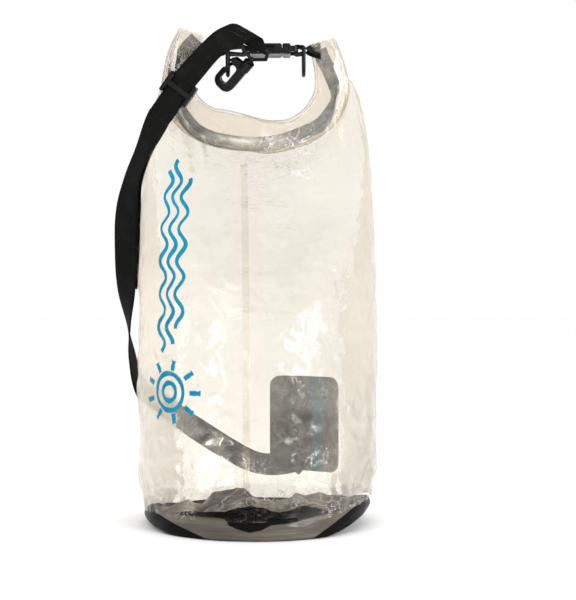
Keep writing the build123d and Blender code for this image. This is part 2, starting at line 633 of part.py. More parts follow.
upper_plane = upper_hook_plane()
upper_bar = upper_plane.origin + UPPER_BAR_OFFSET
upper_along = square_to(UPPER_BAR_OFFSET.normalized(), Vector(0.889, -0.157, -0.430))
lower_plane = lower_hook_plane()
lower_bar = lower_plane.origin - LOWER_AXIS * EYE_BAR_REACH
lower_along = square_to(LOWER_AXIS, Vector(0.40, -0.10, -0.90))
save("upper_hook_body", hook_body(upper_plane))
save("upper_hook_gate", hook_gate(upper_plane))
save("upper_hook_eye", hook_eye(upper_plane, upper_bar, upper_along))
save("lower_hook_body", hook_body(lower_plane))
save("lower_hook_gate", hook_gate(lower_plane))
save("lower_hook_eye", hook_eye(lower_plane, lower_bar, lower_along))
save("back_patch", back_patch())
save("patch_loop", patch_loop())
save("patch_dring", patch_dring()[0])
save("shoulder_strap", shoulder_strap(upper_bar, upper_along, lower_bar, lower_along))
save("strap_slider", strap_slider(upper_bar))
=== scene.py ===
import math

import bmesh
import bpy
from mathutils import Matrix, Vector, noise


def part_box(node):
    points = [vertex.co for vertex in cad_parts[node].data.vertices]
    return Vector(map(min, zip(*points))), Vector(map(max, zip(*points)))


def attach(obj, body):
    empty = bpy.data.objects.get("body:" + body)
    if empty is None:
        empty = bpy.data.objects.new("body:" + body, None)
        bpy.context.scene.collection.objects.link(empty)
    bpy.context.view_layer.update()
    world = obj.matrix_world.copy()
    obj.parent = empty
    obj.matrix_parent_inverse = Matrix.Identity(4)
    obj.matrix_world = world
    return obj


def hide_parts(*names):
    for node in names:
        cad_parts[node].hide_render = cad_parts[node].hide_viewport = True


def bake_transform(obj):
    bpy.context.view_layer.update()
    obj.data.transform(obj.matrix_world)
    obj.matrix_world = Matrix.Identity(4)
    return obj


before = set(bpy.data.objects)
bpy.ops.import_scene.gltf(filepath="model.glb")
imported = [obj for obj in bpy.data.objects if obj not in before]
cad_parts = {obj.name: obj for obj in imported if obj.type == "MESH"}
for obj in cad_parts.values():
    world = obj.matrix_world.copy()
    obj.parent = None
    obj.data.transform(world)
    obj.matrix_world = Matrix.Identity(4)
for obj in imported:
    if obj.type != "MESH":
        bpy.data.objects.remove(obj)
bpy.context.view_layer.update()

# Metres. +X is to the bag's right, +Y to its back and +Z up, as in the frame.

TUBE_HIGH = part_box("body_tube")[1]
ROLL_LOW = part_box("roll_centre")[0]
ARM_LOW, ARM_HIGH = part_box("roll_right_arm")
RIM_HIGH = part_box("rim_band")[1]
BUCKLE_LOW, BUCKLE_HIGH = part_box("buckle_female")
PATCH_LOW, PATCH_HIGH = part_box("back_patch")

BELLY = TUBE_HIGH.x                       # radius
RIM = RIM_HIGH.x                          # radius
RIM_TOP = RIM_HIGH.z
SHOULDER = ARM_LOW.z                      # height where the arms leave the tube
SHOULDER_HALF = BELLY - 0.011
BELLY_TOP = SHOULDER - 0.201
ARM_TOP = ARM_HIGH.z
MOUTH = ROLL_LOW.z                        # lowest edge of the roll
BUCKLE_Z = (BUCKLE_LOW.z + BUCKLE_HIGH.z) / 2

WEB_WIDTH = 0.025
PLY = 0.0013
PLY_STEP = 0.0009                         # from the strap's middle to each ply's middle

# ------------------------------------------------------------------ camera and light

CAMERA_PLACE = (0.0325, -1.60, 0.276)
CAMERA_PITCH = math.radians(1.45)
CAMERA_LENS = 90.5


def set_camera():
    data = bpy.data.cameras.new("camera")
    data.lens = CAMERA_LENS
    data.clip_start = 0.05
    camera = bpy.data.objects.new("camera", data)
    camera.location = CAMERA_PLACE
    camera.rotation_euler = (math.pi / 2 - CAMERA_PITCH, 0, 0)
    bpy.context.scene.collection.objects.link(camera)
    bpy.context.scene.camera = camera


def area_light(name, place, target, size, power):
    data = bpy.data.lights.new(name, "AREA")
    data.shape = "RECTANGLE"
    data.size, data.size_y = size
    data.energy = power
    lamp = bpy.data.objects.new(name, data)
    lamp.location = place
    aim = Vector(target) - Vector(place)
    lamp.rotation_euler = aim.to_track_quat("-Z", "Y").to_euler()
    bpy.context.scene.collection.objects.link(lamp)


def set_light():
    world = bpy.data.worlds.new("studio")
    world.use_nodes = True
    world.node_tree.nodes["Background"].inputs["Color"].default_value = (1, 1, 1, 1)
    world.node_tree.nodes["Background"].inputs["Strength"].default_value = 1.0
    bpy.context.scene.world = world
    bpy.context.scene.view_settings.view_transform = "Standard"
    middle = (0, 0, 0.26)
    area_light("key_softbox", (-0.9, -1.6, 1.4), middle, (0.5, 0.8), 5)
    area_light("tall_strip", (1.05, -1.35, 0.45), middle, (0.09, 1.2), 15)
    area_light("second_strip", (1.30, -1.05, 0.45), middle, (0.05, 1.0), 6)
    area_light("side_strip", (-1.5, -0.55, 0.5), middle, (0.14, 1.0), 3)
    area_light("top_softbox", (0.3, 0.3, 1.7), middle, (0.7, 0.7), 2.5)


def set_floor():
    bm = bmesh.new()
    bmesh.ops.create_grid(bm, x_segments=1, y_segments=1, size=6)
    bmesh.ops.translate(bm, verts=bm.verts, vec=(0, 0, -0.0005))
    mesh = bpy.data.meshes.new("floor")
    bm.to_mesh(mesh)
    bm.free()
    floor = bpy.data.objects.new("floor", mesh)
    bpy.context.scene.collection.objects.link(floor)
    paper = bpy.data.materials.new("white_paper")
    paper.use_nodes = True
    shader = paper.node_tree.nodes["Principled BSDF"]
    shader.inputs["Base Color"].default_value = (0.985, 0.985, 0.985, 1)
    shader.inputs["Roughness"].default_value = 0.9
    mesh.materials.append(paper)


# ------------------------------------------------------------------ material nodes

class Recipe:
    """A material's nodes, added one at a time."""

    def __init__(self, name, source="Object"):
        self.material = bpy.data.materials.new(name)
        self.material.use_nodes = True
        self.tree = self.material.node_tree
        self.shader = self.tree.nodes["Principled BSDF"]
        self.coords = self.tree.nodes.new("ShaderNodeTexCoord").outputs[source]

    def add(self, kind, **values):
        node = self.tree.nodes.new("ShaderNode" + kind)
        for key, value in values.items():
            setattr(node, key, value)
        return node

    def link(self, output, target):
        self.tree.links.new(output, target)

    def mapped(self, scale=(1, 1, 1), turn=(0, 0, 0), move=(0, 0, 0)):
        node = self.add("Mapping")
        node.inputs["Scale"].default_value = scale
        node.inputs["Rotation"].default_value = turn
        node.inputs["Location"].default_value = move
        self.link(self.coords, node.inputs["Vector"])
        return node.outputs["Vector"]

    def noise(self, scale, detail=3.0, kind="FBM", coords=None, distortion=0.0):
        node = self.add("TexNoise", noise_type=kind, normalize=True)
        node.inputs["Scale"].default_value = scale
        node.inputs["Detail"].default_value = detail
        node.inputs["Distortion"].default_value = distortion
        self.link(coords or self.coords, node.inputs["Vector"])
        return node.outputs["Fac"]

    def bands(self, scale, direction, coords=None, distortion=0.0):
        node = self.add("TexWave", bands_direction=direction)
        node.inputs["Scale"].default_value = scale
        node.inputs["Distortion"].default_value = distortion
        self.link(coords or self.coords, node.inputs["Vector"])
        return node.outputs["Fac"]

    def ramp(self, factor, stops):
        node = self.add("ValToRGB")
        elements = node.color_ramp.elements
        while len(elements) < len(stops):
            elements.new(0.5)
        for element, (place, colour) in zip(elements, stops):
            element.position = place
            element.color = (*colour, 1) if hasattr(colour, "__len__") else (colour, colour, colour, 1)
        self.link(factor, node.inputs["Fac"])
        return node.outputs["Color"]

    def math(self, kind, a, b):
        node = self.add("Math", operation=kind)
        for socket, value in zip(node.inputs, (a, b)):
            if isinstance(value, (int, float)):
                socket.default_value = value
            else:
                self.link(value, socket)
        return node.outputs["Value"]

    def mix(self, factor, a, b):
        node = self.add("Mix", data_type="RGBA")
        self.link(factor, node.inputs["Factor"])
        for socket, value in ((node.inputs[6], a), (node.inputs[7], b)):
            if isinstance(value, tuple):
                socket.default_value = (*value, 1)
            else:
                self.link(value, socket)
        return node.outputs[2]

    def bump(self, height, strength, distance, under=None):
        node = self.add("Bump")
        node.inputs["Strength"].default_value = strength
        node.inputs["Distance"].default_value = distance
        self.link(height, node.inputs["Height"])
        if under is not None:
            self.link(under, node.inputs["Normal"])
        return node.outputs["Normal"]

    def shape(self, normal):
        self.link(normal, self.shader.inputs["Normal"])

    def near(self, centre, reach):
        """1 at a place, falling to 0 at its reach along each axis."""
        scale = [1 / d for d in reach]
        away = self.add("VectorMath", operation="LENGTH")
        spot = self.mapped(scale=scale, move=[-c * k for c, k in zip(centre, scale)])
        self.link(spot, away.inputs[0])
        return self.ramp(away.outputs["Value"], [(0.35, 1.0), (1.0, 0.0)])

    def colour(self, value):
        if isinstance(value, tuple):
            self.shader.inputs["Base Color"].default_value = (*value, 1)
        else:
            self.link(value, self.shader.inputs["Base Color"])

    def roughness(self, value):
        if isinstance(value, float):
            self.shader.inputs["Roughness"].default_value = value
        else:
            self.link(value, self.shader.inputs["Roughness"])


def crease_lines(r, scale, width, stretch=(1, 1, 1)):
    """Thin wandering lines: 1 on a line and 0 off it."""
    field = r.noise(scale, 2, coords=r.mapped(scale=stretch))
    off = r.math("ABSOLUTE", r.math("SUBTRACT", field, 0.5), 0.0)
    return r.ramp(off, [(0.0, 1.0), (width, 0.0)])


def film_material(name, tint, colour, crumple):
    """Clear soft vinyl: a warm tint, a veil that is denser at the back, white crease lines and specks painted
    as highlights, a wet gloss.
    """
    r = Recipe(name)
    split = r.add("SeparateXYZ")
    r.link(r.coords, split.inputs["Vector"])
    broad = r.noise(13, 2)
    fine = r.noise(220, 2)
    lines = crease_lines(r, 34, 0.014, (1, 1, 1.6))
    thin_lines = crease_lines(r, 80, 0.020)
    # specks: tiny painted glints, part of the painted crease highlights.
    specks = r.ramp(r.noise(330, 1), [(0.69, 0.0), (0.73, 1.0)])

    # top, left_ear and foot, gathered into worn, are the areas where crease highlights are painted, not wear.
    top = r.near((0.030, -0.050, 0.385), (0.050, 0.090, 0.050))
    left_ear = r.near((-0.088, 0.0, 0.480), (0.030, 0.060, 0.060))
    foot = r.ramp(split.outputs["Z"], [(0.030, 1.0), (0.070, 0.0)])
    worn = r.math("MAXIMUM", r.math("MAXIMUM", top, r.math("MULTIPLY", left_ear, 0.5)),
                  r.math("MULTIPLY", foot, 0.5))
    pressed = r.near((-0.004, -0.118, 0.027), (0.095, 0.060, 0.020))
    wet = r.near((PATCH_LOW + PATCH_HIGH) / 2, (0.075, 0.060, 0.105))
    bare = r.math("SUBTRACT", 1.0, r.math("MAXIMUM", r.math("MULTIPLY", pressed, 0.9),
                                          r.math("MULTIPLY", wet, 0.65)))
    # amount: strength of the painted crease highlights; crumple sets it everywhere, and it is less where the
    # film lies pressed or wet.
    amount = r.math("MULTIPLY", r.math("ADD", r.math("MULTIPLY", worn, 1.3), crumple), bare)
    # Painted highlight: white crease lines and glints, which also thicken the veil.
    painted_highlight = r.math("MAXIMUM", r.math("MULTIPLY", lines, 0.7), r.math("MAXIMUM", thin_lines, specks))
    patches = r.ramp(r.noise(30, 3), [(0.44, 0.0), (0.58, 1.0)])
    painted_highlight = r.math("MULTIPLY", r.math("MULTIPLY", painted_highlight, patches), amount)

    normal = r.bump(broad, 0.35, 0.005)
    normal = r.bump(r.noise(42, 3, coords=r.mapped(scale=(1, 1, 1.6))), 0.55, 0.0022, normal)
    normal = r.bump(thin_lines, 0.15, 0.0005, normal)
    r.shape(r.bump(fine, 0.05, 0.0003, normal))
    plain = r.ramp(broad, [(0.35, colour), (0.7, tuple(c * 0.95 for c in colour))])
    # The base colour turns white on the painted highlight lines.
    r.colour(r.mix(painted_highlight, plain, (0.97, 0.97, 0.97)))
    r.roughness(r.ramp(fine, [(0.3, 0.07), (0.7, 0.15)]))
    r.shader.inputs["Specular IOR Level"].default_value = 1.0
    r.shader.inputs["Metallic"].default_value = 0.25
    r.shader.inputs["Coat Weight"].default_value = 0.5
    r.shader.inputs["Coat Roughness"].default_value = 0.04

    edge = r.add("Fresnel")
    edge.inputs["IOR"].default_value = 1.42
    r.link(normal, edge.inputs["Normal"])
    soft_bands = r.ramp(r.noise(5, 2, coords=r.mapped(scale=(1, 1, 5))), [(0.35, 0.015), (0.72, 0.12)])
    blotches = r.ramp(r.noise(38, 4), [(0.36, 0.01), (0.50, 0.17)])
    behind = r.ramp(split.outputs["Y"], [(0.05, 0.0), (0.09, 1.0)])
    veil = r.math("ADD", soft_bands, r.math("MULTIPLY", behind, blotches))
    body = r.math("ADD", r.math("MULTIPLY", edge.outputs["Fac"], 0.7), veil)
    body = r.math("ADD", r.math("MULTIPLY", body, bare), r.math("MULTIPLY", painted_highlight, 0.75))
    clear = r.add("BsdfTransparent")
    clear.inputs["Color"].default_value = (*tint, 1)
    blend = r.add("MixShader")
    r.link(r.math("MINIMUM", body, 1.0), blend.inputs["Fac"])
    r.link(clear.outputs["BSDF"], blend.inputs[1])
    r.link(r.shader.outputs["BSDF"], blend.inputs[2])
    output = next(n for n in r.tree.nodes if n.type == "OUTPUT_MATERIAL")
    r.link(blend.outputs["Shader"], output.inputs["Surface"])
    return r.material


def vinyl_material():
    """Black coated vinyl. Its raised middle has a painted grey sheen, with painted highlights along its
    folds.
    """
    r = Recipe("black_vinyl")
    flat = r.mapped(scale=(1, 1, 0))
    away = r.add("VectorMath", operation="LENGTH")
    r.link(flat, away.inputs[0])
    middle = r.ramp(away.outputs["Value"], [(0.101, 1.0), (0.106, 0.0)])
    # Noise for the painted sheen's strength, and for the roughness.
    sheen_noise = r.noise(24, 4, distortion=1.2)
    # Grey satin colours: a painted sheen, not the vinyl's own colour.
    painted_sheen = r.ramp(sheen_noise, [(0.34, (0.016, 0.014, 0.012)), (0.52, (0.085, 0.072, 0.060)),
                           (0.68, (0.24, 0.215, 0.19))])
    # Pale lines along the folds: painted highlights.
    edges = r.math("MULTIPLY", crease_lines(r, 30, 0.012), 0.55)
    painted_sheen = r.mix(edges, painted_sheen, (0.62, 0.58, 0.54))
    r.colour(r.mix(middle, (0.0035, 0.0035, 0.0030), painted_sheen))
    r.roughness(r.ramp(sheen_noise, [(0.3, 0.22), (0.7, 0.40)]))
    normal = r.bump(r.noise(26, 2), 0.6, 0.004)
    r.shape(r.bump(r.noise(1400, 2), 0.15, 0.0002, normal))
    r.link(r.math("MULTIPLY", middle, 0.3), r.shader.inputs["Specular IOR Level"])
    return r.material


# (x, height) above which the band is black.
BAND_EDGE = [(-0.120, 0.040), (-0.074, 0.030), (-0.068, 0.0245), (-0.048, 0.0225), (-0.030, 0.0210),
             (-0.026, 0.0150), (-0.018, 0.0115), (-0.006, 0.0082), (0.006, 0.0105), (0.016, 0.0155),
             (0.037, 0.0170), (0.055, 0.0205), (0.066, 0.0250), (0.074, 0.030), (0.120, 0.040)]


def band_material():
    """Clear vinyl over the black flange: grey-brown, and black where the flange shows bare."""
    r = Recipe("rim_band_film")
    split = r.add("SeparateXYZ")
    r.link(r.coords, split.inputs["Vector"])
    x, z = split.outputs["X"], split.outputs["Z"]
    right = r.math("SUBTRACT", r.math("SUBTRACT", x, r.math("MULTIPLY", z, 1.7)), 0.0556)
    left = r.math("SUBTRACT", r.math("MULTIPLY", r.math("ADD", x, r.math("MULTIPLY", z, 2.9)), -1.0), 0.0447)
    ends = r.ramp(r.math("MULTIPLY", r.math("MAXIMUM", left, right), 100.0), [(0.0, 0.0), (0.1, 1.0)])
    share = r.math("MULTIPLY", r.math("ADD", x, 0.120), 1 / 0.240)
    edge = r.ramp(share, [((a + 0.120) / 0.240, h * 20) for a, h in BAND_EDGE])
    over = r.math("SUBTRACT", r.math("MULTIPLY", z, 20.0), edge)
    bare = r.ramp(r.math("MULTIPLY", over, 5.0), [(0.0, 0.0), (0.12, 1.0)])
    front = r.ramp(split.outputs["Y"], [(0.0, 1.0), (0.01, 0.0)])
    dark = r.math("MAXIMUM", ends, r.math("MULTIPLY", bare, front))
    streaks = r.noise(8, 4, coords=r.mapped(scale=(1, 1, 14)))
    film = r.ramp(streaks, [(0.3, (0.050, 0.042, 0.034)), (0.55, (0.092, 0.079, 0.063)),
                            (0.8, (0.17, 0.150, 0.122))])
    r.colour(r.mix(dark, film, (0.0035, 0.0035, 0.0030)))
    r.roughness(r.ramp(streaks, [(0.3, 0.18), (0.7, 0.36)]))
    normal = r.bump(r.noise(34, 3, coords=r.mapped(scale=(1, 1, 4))), 0.5, 0.003)
    r.shape(r.bump(r.noise(500, 2), 0.1, 0.0003, normal))
    r.link(r.math("SUBTRACT", 0.34, r.math("MULTIPLY", dark, 0.29)), r.shader.inputs["Specular IOR Level"])
    return r.material


def patch_material():
    """Dark vinyl with a worn teal stripe that follows the patch's height."""
    turn = math.radians(25)
    r = Recipe("printed_vinyl")
    local = r.mapped(turn=(0, 0, turn))
    split = r.add("SeparateXYZ")
    r.link(local, split.inputs["Vector"])
    ragged = r.math("MULTIPLY", r.noise(48, 4), 0.034)
    across = r.math("ADD", split.outputs["X"], ragged)
    left = r.math("GREATER_THAN", across, 0.021)
    right = r.math("LESS_THAN", across, 0.042)
    worn = r.ramp(r.noise(120, 5, distortion=1.0), [(0.36, 0.0), (0.42, 1.0)])
    stripe = r.math("MULTIPLY", r.math("MULTIPLY", left, right), worn)
    dark = r.ramp(r.noise(45, 5, distortion=1.5),
                  [(0.36, (0.004, 0.004, 0.004)), (0.47, (0.040, 0.035, 0.031)),
                   (0.68, (0.105, 0.092, 0.083))])
    teal = r.ramp(r.noise(60, 3), [(0.3, (0.003, 0.045, 0.085)), (0.7, (0.008, 0.115, 0.17))])
    r.colour(r.mix(stripe, dark, teal))
    r.roughness(r.ramp(r.noise(90, 3), [(0.3, 0.22), (0.7, 0.45)]))
    r.shape(r.bump(r.noise(60, 4, distortion=1.0), 0.5, 0.0015))
    return r.material


def webbing_material():
    """Black ribbed webbing on its own UV map, in metres: u across it and v along it."""
    r = Recipe("webbing", "UV")
    ribs = r.bands(185, "Y", distortion=0.25)
    fill = r.bands(300, "X", distortion=0.2)
    weave = r.math("MULTIPLY", ribs, r.math("ADD", r.math("MULTIPLY", fill, 0.6), 0.4))
    fuzz = r.noise(2600, 3)
    tone = r.math("ADD", r.math("MULTIPLY", weave, 0.7), r.math("MULTIPLY", fuzz, 0.3))
    wear = r.noise(55, 3)
    base = r.ramp(tone, [(0.15, (0.0008, 0.0008, 0.0007)), (0.8, (0.0065, 0.0065, 0.0055))])
    r.colour(r.mix(r.ramp(wear, [(0.5, 0.0), (0.8, 0.35)]), base, (0.020, 0.0195, 0.0175)))
    r.roughness(r.ramp(fuzz, [(0.3, 0.62), (0.7, 0.85)]))
    normal = r.bump(weave, 0.8, 0.0004)
    r.shape(r.bump(fuzz, 0.25, 0.00015, normal))
    r.shader.inputs["Specular IOR Level"].default_value = 0.10
    return r.material


def thread_material():
    """Bonded polyester thread, black with a dull shine."""
    r = Recipe("thread")
    r.colour(r.ramp(r.noise(900, 2), [(0.3, (0.006, 0.006, 0.006)), (0.7, (0.030, 0.029, 0.027))]))
    r.roughness(0.5)
    r.shape(r.bump(r.noise(2400, 2), 0.4, 0.0001))
    return r.material


def plastic_material():
    """Moulded black acetal: satin, a fine mould grain, pale rubbed specks."""
    r = Recipe("black_acetal")
    rub = r.noise(160, 5)
    base = r.ramp(rub, [(0.35, (0.0022, 0.0022, 0.0022)), (0.62, (0.006, 0.006, 0.0058)),
                        (0.80, (0.030, 0.029, 0.027))])
    r.colour(base)
    r.roughness(r.ramp(r.noise(75, 3), [(0.3, 0.22), (0.7, 0.42)]))
    normal = r.bump(r.noise(120, 2), 0.25, 0.0008)
    r.shape(r.bump(r.noise(2200, 2), 0.12, 0.00012, normal))
    r.shader.inputs["Specular IOR Level"].default_value = 0.20
    return r.material


def stiffener_material():
    """Dark grey-green plastic strip with long drawn streaks. Painted light and shade: lighter with painted
    highlights in the middle, darker towards its ends.
    """
    r = Recipe("stiffener")
    streak = r.noise(30, 4, coords=r.mapped(scale=(1, 1, 3)))
    split = r.add("SeparateXYZ")
    r.link(r.coords, split.inputs["Vector"])
    # side: 0 in the middle, 1 towards the strip's ends, where painted shade darkens it.
    side = r.ramp(r.math("ABSOLUTE", split.outputs["X"], 0.0), [(0.025, 0.0), (0.060, 1.0)])
    # middle: the painted lit colours, whose palest streaks are painted highlights.
    middle = r.ramp(streak, [(0.3, (0.22, 0.215, 0.21)), (0.52, (0.42, 0.41, 0.40)),
                             (0.75, (0.80, 0.80, 0.80))])
    # ends: the painted shaded colours of the strip's ends.
    ends = r.ramp(streak, [(0.3, (0.050, 0.052, 0.055)), (0.55, (0.17, 0.175, 0.18)),
                           (0.8, (0.55, 0.56, 0.58))])
    r.colour(r.mix(side, middle, ends))
    r.roughness(r.ramp(streak, [(0.3, 0.2), (0.7, 0.4)]))
    r.shape(r.bump(r.noise(50, 3), 0.5, 0.0015))
    return r.material


def ink_material():
    """Teal screen ink, slightly uneven."""
    r = Recipe("teal_ink")
    r.colour(r.ramp(r.noise(90, 4), [(0.3, (0.001, 0.17, 0.285)), (0.7, (0.004, 0.235, 0.36))]))
    r.shader.inputs["Specular IOR Level"].default_value = 0.10
    r.roughness(r.ramp(r.noise(300, 2), [(0.3, 0.3), (0.7, 0.45)]))
    r.shape(r.bump(r.noise(400, 2), 0.15, 0.0002))
    return r.material


# ------------------------------------------------------------------ mesh helpers

def curve_between(table, place):
    """A value from a short table of (place, value), eased between its rows."""
    if place <= table[0][0]:
        return table[0][1]
    for (a, va), (b, vb) in zip(table, table[1:]):
        if place <= b:
            share = (place - a) / (b - a)
            return va + (vb - va) * share
    return table[-1][1]


def make_piece(bm, name, material, body=None, levels=0, thickness=0.0, offset=0.0):
    """Finishes a mesh: merged, smooth, named, and riding on its body."""
    bmesh.ops.remove_doubles(bm, verts=bm.verts, dist=1e-7)
    for face in bm.faces:
        face.smooth = True
    mesh = bpy.data.meshes.new(name)
    bm.to_mesh(mesh)
    bm.free()
    mesh.materials.append(material)
    piece = bpy.data.objects.new(name, mesh)
    bpy.context.scene.collection.objects.link(piece)
    if thickness:
        solid = piece.modifiers.new("thickness", "SOLIDIFY")
        solid.thickness = thickness
        solid.offset = offset
    if levels:
        smooth = piece.modifiers.new("smooth", "SUBSURF")
        smooth.levels = smooth.render_levels = levels
    if body:
        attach(piece, body)
    return piece


def unit_tube(segments, rows):
    """A tube one high and one in radius, grown ring by ring."""
    bm = bmesh.new()
    bmesh.ops.create_circle(bm, segments=segments, radius=1.0)
    edges = bm.edges[:]
    for _ in range(rows):
        grown = bmesh.ops.extrude_edge_only(bm, edges=edges)["geom"]
        verts = {g for g in grown if isinstance(g, bmesh.types.BMVert)}
        edges = [g for g in grown if isinstance(g, bmesh.types.BMEdge) and set(g.verts) <= verts]
        bmesh.ops.translate(bm, verts=list(verts), vec=(0, 0, 1 / rows))
    return bm


def shape_tube(bm, place):
    """Moves a unit tube's points: place takes an angle and a share of the height."""
    for vert in bm.verts:
        vert.co = place(math.atan2(vert.co.y, vert.co.x), vert.co.z)
    bmesh.ops.recalc_face_normals(bm, faces=bm.faces)


def mapped_grid(columns, rows, place, width, length):
    """A grid whose points are placed by place(across -0.5..0.5, along 0..1), with a UV map in metres."""
    bm = bmesh.new()
    bmesh.ops.create_grid(bm, x_segments=columns, y_segments=rows, size=0.5)
    uv = bm.loops.layers.uv.new("UVMap")
    for face in bm.faces:
        for loop in face.loops:
            loop[uv].uv = ((loop.vert.co.x + 0.5) * width, (loop.vert.co.y + 0.5) * length)
    for vert in bm.verts:
        vert.co = place(vert.co.x, vert.co.y + 0.5)
    return bm


def smooth_route(points, count):
    """Even stations along a smooth line through points, each a place and a vector that goes with it."""
    places = [Vector(p) for p, _ in points]
    carried = [Vector(v) for _, v in points]
    lengths = [(b - a).length for a, b in zip(places, places[1:])]
    total = sum(lengths)

    def through(values, i, t):
        a, b = values[max(i - 1, 0)], values[i]
        c, d = values[i + 1], values[min(i + 2, len(values) - 1)]
        return 0.5 * (2 * b + (c - a) * t + (2 * a - 5 * b + 4 * c - d) * t * t
                      + (3 * b - a - 3 * c + d) * t ** 3)

    stations = []
    for step in range(count + 1):
        reach = total * step / count
        i = 0
        while i < len(lengths) - 1 and reach > lengths[i]:
            reach -= lengths[i]
            i += 1
        t = min(reach / lengths[i], 1.0)
        stations.append((through(places, i, t), through(carried, i, t)))
    return stations, total


def sides_of(points):
    """The way across a strap at each point, from the way its face looks there."""
    places = [Vector(p) for p, _ in points]
    last = len(points) - 1
    sides = []
    for i, (_, face) in enumerate(points):
        along = places[min(i + 1, last)] - places[max(i - 1, 0)]
        sides.append(along.cross(Vector(face)).normalized())
    return list(zip(places, sides))


def ribbon(name, points, width, thickness, count, material, body, columns=8, ripple=0.0):
    """A flat strap along a route of (place, the way across it)."""
    stations, length = smooth_route(points, count)

    def at(across, share):
        i = round(share * count)
        place, side = stations[i]
        side = side.normalized()
        along = stations[min(i + 1, count)][0] - stations[max(i - 1, 0)][0]
        wave = ripple * noise.noise(Vector((across * 2, share * length * 40, 3.7)))
        return place + side * (across * width) + side.cross(along).normalized() * wave

    bm = mapped_grid(columns, count, at, width, length)
    return make_piece(bm, name, material, body, thickness=thickness)


# ------------------------------------------------------------------ film bag

# Rise of the film's top edge over the mouth, by |x| as a share of the width: right side, then left.
MOUTH_EDGE = {
    1: [(0.0, 0.007), (0.25, 0.009), (0.36, 0.011), (0.47, 0.015), (0.58, 0.022), (0.70, 0.035),
        (0.78, 0.052), (0.84, 0.070), (0.90, 0.088), (0.95, 0.102), (0.98, 0.112), (1.0, 0.119)],
    -1: [(0.0, 0.007), (0.25, 0.010), (0.36, 0.0135), (0.47, 0.018), (0.58, 0.025), (0.68, 0.037),
         (0.76, 0.053), (0.84, 0.074), (0.90, 0.096), (0.95, 0.114), (1.0, 0.132)],
}
# Half-width of the film beside the arms, by share of the arms' height.
EAR_OUTLINE = {
    1: [(0.0, SHOULDER_HALF), (0.24, 0.110), (0.36, 0.107), (0.45, 0.104), (0.55, 0.0997), (0.62, 0.0943),
        (0.68, 0.0890), (0.82, 0.0870), (0.89, 0.0850), (0.95, 0.0780), (1.0, 0.0690)],
    -1: [(0.0, SHOULDER_HALF), (0.24, 0.110), (0.45, 0.104), (0.55, 0.0997), (0.68, 0.0982), (0.75, 0.0942),
         (0.89, 0.0885), (1.02, 0.0827), (1.08, 0.0780), (1.14, 0.0725)],
}


def rim_lift(x):
    """The soft base turns up at its two sides."""
    right = max(0.0, (x - 0.070) / 0.050)
    left = max(0.0, (-x - 0.085) / 0.035)
    return 0.019 * right ** 1.5 + 0.008 * left ** 1.5


def ease(low, high, value):
    share = min(1.0, max(0.0, (value - low) / (high - low)))
    return share * share * (3 - 2 * share)


def flange_top(angle):
    """The base's flange stands up at the front and lies down at the sides and back."""
    return RIM_TOP * (0.30 + 0.70 * ease(0.0, 0.75, -math.sin(angle)))


def half_width(z, side):
    if z <= 0.050:
        return curve_between([(RIM_TOP, RIM), (0.036, BELLY - 0.0015), (0.050, BELLY)], z)
    if z <= BELLY_TOP:
        return BELLY
    if z <= SHOULDER:
        share = (z - BELLY_TOP) / (SHOULDER - BELLY_TOP)
        return BELLY - (BELLY - SHOULDER_HALF) * share ** 2
    share = (z - SHOULDER) / (ARM_TOP - SHOULDER)
    ears = [curve_between(EAR_OUTLINE[s], share) for s in (-1, 1)]
    return ears[0] + (ears[1] - ears[0]) * ease(-0.4, 0.4, side)


def mouth_height(angle):
    side = math.cos(angle)
    return MOUTH + curve_between(MOUTH_EDGE[1 if side > 0 else -1], abs(side))


def crinkle(angle, z, closing):
    """How far the film stands in or out of its plain shape. It is held back behind its patch."""
    x, y = math.cos(angle), math.sin(angle)
    broad = 0.0022 * noise.noise(Vector((x * 2.2, y * 2.2, z * 16)))
    slack = 0.0013 * noise.noise(Vector((x * 1.6 + 5, y * 1.6, z * 60)))
    ridge = 1 - abs(noise.noise(Vector((x * 3.4, y * 3.4 + 9, z * 26))))
    ridge = 0.0016 * ridge ** 7
    low = max(0.0, 1 - (z - RIM_TOP) / 0.055)
    pucker = 0.0030 * low * noise.noise(Vector((x * 9, y * 9, z * 22)))
    gather = 0.0030 * closing ** 3 * noise.noise(Vector((x * 13 + z * 16, y * 13, z * 12)))
    fine = 0.0006 * noise.noise(Vector((x * 14, y * 14, z * 120)))
    out = (broad + slack + ridge + fine) * (1 - 0.6 * closing) + pucker + gather - 0.0004
    across = min(ease(-0.030, -0.012, x * BELLY - PATCH_LOW.x),
                 ease(-0.030, -0.012, PATCH_HIGH.x - x * BELLY))
    along = min(ease(-0.025, -0.008, z - PATCH_LOW.z), ease(-0.025, -0.008, PATCH_HIGH.z - z))
    held = min(across, along) if y > 0 else 0.0
    return min(out, 0.0016) * (1 - held) + min(out, 0.0) * held


def film_point(angle, z, out=0.0):
    """The film's surface at an angle about the bag's axis and a height."""
    top = mouth_height(angle)
    closing = min(1.0, max(0.0, (z - BELLY_TOP) / (top - BELLY_TOP)))
    wide = half_width(z, math.cos(angle))
    deep = min(wide, BELLY) - (BELLY - 0.0045) * closing ** 1.35
    full = 1 - 0.45 * closing
    side, front = math.cos(angle), math.sin(angle)
    x = wide * side
    y = deep * math.copysign(abs(front) ** full, front)
    normal = Vector((side * max(deep, 0.02), front * wide, 0)).normalized()
    height = z + rim_lift(x) * max(0.0, 1 - (z - RIM_TOP) / 0.06)
    return Vector((x, y, height)) + normal * (crinkle(angle, z, closing) + out)


def across_release(piece):
    """Bakes a film piece's placement into its points."""
    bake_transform(piece)


